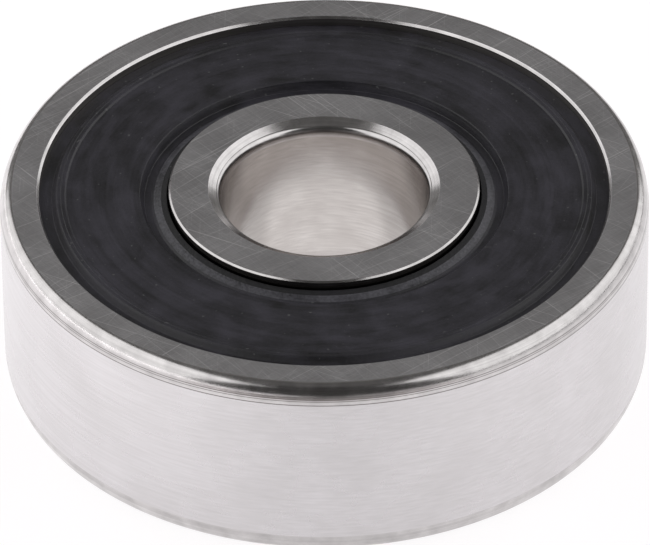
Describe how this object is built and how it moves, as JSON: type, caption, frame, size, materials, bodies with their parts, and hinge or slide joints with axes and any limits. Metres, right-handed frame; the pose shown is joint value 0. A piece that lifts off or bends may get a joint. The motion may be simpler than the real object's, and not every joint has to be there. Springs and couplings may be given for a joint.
{
  "type": "sealed deep groove ball bearing",
  "caption": "Sealed deep-groove ball bearing: ground steel rings, balls in a riveted ribbon cage and black rubber side seals; carries a turning shaft in a housing.",
  "frame": {"origin": "centre of the bearing: on the shaft axis, midway between the two faces", "axes": "+Z along the shaft axis, square to the ring faces; +X through the centre of ball_1"},
  "size_m": [0.022, 0.022, 0.007],
  "materials": {
    "ring_steel": "ground",
    "ball_steel": "lapped mirror",
    "cage_steel": "pressed sheet, tumbled",
    "rivet_steel": "cold headed",
    "insert_steel": "phosphated sheet",
    "seal_rubber": "moulded, satin"
  },
  "bodies": {
    "outer": {"outer_ring": "ring_steel", "seal_rubber_top": "seal_rubber", "seal_insert_top": "insert_steel", "seal_rubber_bottom": "seal_rubber", "seal_insert_bottom": "insert_steel"},
    "inner": {"inner_ring": "ring_steel"},
    "cage": {"cage_half_top": "cage_steel", "cage_half_bottom": "cage_steel", "cage_rivets": "rivet_steel"},
    "ball_1_body": {"ball_1": "ball_steel"},
    "ball_2_body": {"ball_2": "ball_steel"},
    "ball_3_body": {"ball_3": "ball_steel"},
    "ball_4_body": {"ball_4": "ball_steel"},
    "ball_5_body": {"ball_5": "ball_steel"},
    "ball_6_body": {"ball_6": "ball_steel"},
    "ball_7_body": {"ball_7": "ball_steel"}
  },
  "joints": [
    {"name": "inner_ring_spin", "type": "hinge", "parent": "outer", "child": "inner", "pos_m": [0, 0, 0], "axis": [0, 0, 1], "continuous": true},
    {"name": "cage_orbit", "type": "hinge", "parent": "outer", "child": "cage", "pos_m": [0, 0, 0], "axis": [0, 0, 1], "continuous": true},
    {"name": "ball_1_spin", "type": "hinge", "parent": "cage", "child": "ball_1_body", "pos_m": [0.00725, 0, 0], "axis": [0, 0, 1], "continuous": true},
    {"name": "ball_2_spin", "type": "hinge", "parent": "cage", "child": "ball_2_body", "pos_m": [0.00452, 0.00567, 0], "axis": [0, 0, 1], "continuous": true},
    {"name": "ball_3_spin", "type": "hinge", "parent": "cage", "child": "ball_3_body", "pos_m": [-0.00161, 0.00707, 0], "axis": [0, 0, 1], "continuous": true},
    {"name": "ball_4_spin", "type": "hinge", "parent": "cage", "child": "ball_4_body", "pos_m": [-0.00653, 0.00315, 0], "axis": [0, 0, 1], "continuous": true},
    {"name": "ball_5_spin", "type": "hinge", "parent": "cage", "child": "ball_5_body", "pos_m": [-0.00653, -0.00315, 0], "axis": [0, 0, 1], "continuous": true},
    {"name": "ball_6_spin", "type": "hinge", "parent": "cage", "child": "ball_6_body", "pos_m": [-0.00161, -0.00707, 0], "axis": [0, 0, 1], "continuous": true},
    {"name": "ball_7_spin", "type": "hinge", "parent": "cage", "child": "ball_7_body", "pos_m": [0.00452, -0.00567, 0], "axis": [0, 0, 1], "continuous": true}
  ],
  "couplings": [
    {"joint": "cage_orbit", "follows": "inner_ring_spin", "ratio": 0.36314},
    {"joint": "ball_1_spin", "follows": "inner_ring_spin", "ratio": -1.6898},
    {"joint": "ball_2_spin", "follows": "inner_ring_spin", "ratio": -1.6898},
    {"joint": "ball_3_spin", "follows": "inner_ring_spin", "ratio": -1.6898},
    {"joint": "ball_4_spin", "follows": "inner_ring_spin", "ratio": -1.6898},
    {"joint": "ball_5_spin", "follows": "inner_ring_spin", "ratio": -1.6898},
    {"joint": "ball_6_spin", "follows": "inner_ring_spin", "ratio": -1.6898},
    {"joint": "ball_7_spin", "follows": "inner_ring_spin", "ratio": -1.6898}
  ]
}
